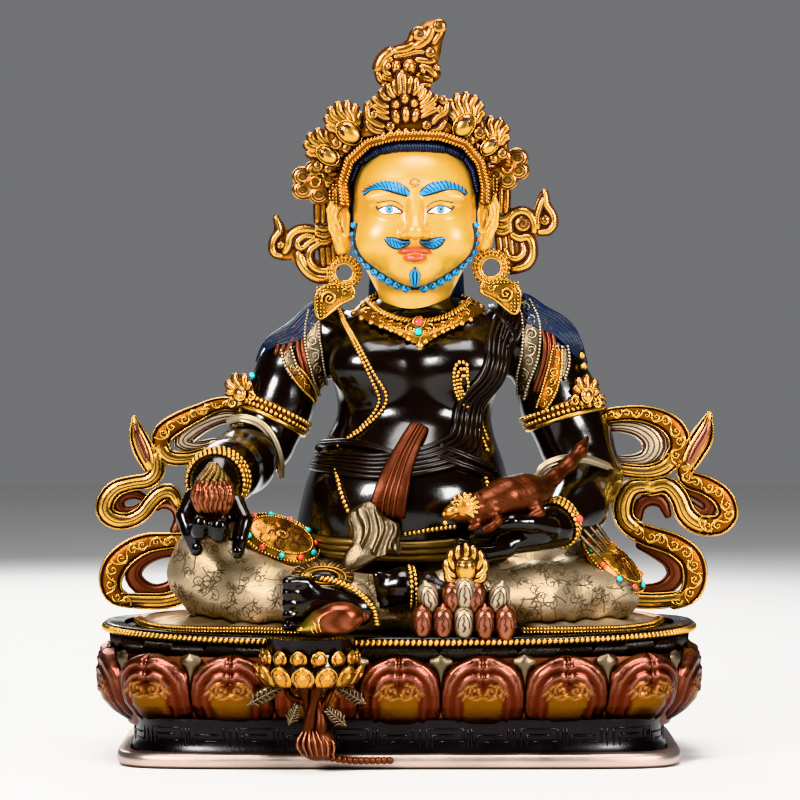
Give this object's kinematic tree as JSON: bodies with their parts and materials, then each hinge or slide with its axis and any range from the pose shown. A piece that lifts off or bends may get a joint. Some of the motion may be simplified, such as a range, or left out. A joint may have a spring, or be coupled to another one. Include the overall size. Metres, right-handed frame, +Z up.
{
  "type": "seated wealth deity statue",
  "caption": "Stout crowned wealth deity seated on an oval lotus plinth, one foot on a small lotus, holding a citron and a mongoose, with scarves curling at both sides.",
  "frame": {"origin": "middle of the plinth's flat underside", "axes": "+Z up; -Y toward the viewer, the way the figure faces; +X to the right as seen from the front"},
  "size_m": [0.2911, 0.1996, 0.3295],
  "materials": {
    "dark_patina": "polished dark brown patina on cast copper, with silvered, gilded and copper-red areas",
    "gilding": "satin gilding with brown-red toning in the grooves",
    "copper": "satin copper with dark grooves and a few silvered and gilded areas",
    "turquoise": "smooth opaque cabochon",
    "coral": "smooth opaque cabochon"
  },
  "bodies": {
    "root": {"lotus_plinth": "dark_patina", "seated_figure": "dark_patina", "crown": "gilding", "scarf_left": "gilding", "scarf_right": "gilding", "mongoose": "copper", "citron": "copper", "conch": "copper", "jewel_pile": "copper", "turquoise_stone_left_knee_1": "turquoise", "coral_stone_left_knee_2": "coral", "turquoise_stone_left_knee_3": "turquoise", "coral_stone_left_knee_4": "coral", "turquoise_stone_left_knee_5": "turquoise", "coral_stone_left_knee_6": "coral", "turquoise_stone_left_knee_7": "turquoise", "coral_stone_left_knee_8": "coral", "turquoise_stone_left_knee_9": "turquoise", "coral_stone_left_knee_10": "coral", "turquoise_stone_left_knee_11": "turquoise", "turquoise_stone_right_knee_1": "turquoise", "coral_stone_right_knee_2": "coral", "turquoise_stone_right_knee_3": "turquoise", "coral_stone_right_knee_4": "coral", "turquoise_stone_right_knee_5": "turquoise", "coral_stone_right_knee_6": "coral", "turquoise_stone_right_knee_7": "turquoise", "coral_stone_right_knee_8": "coral", "turquoise_stone_right_knee_9": "turquoise", "coral_stone_right_knee_10": "coral"}
  },
  "joints": []
}
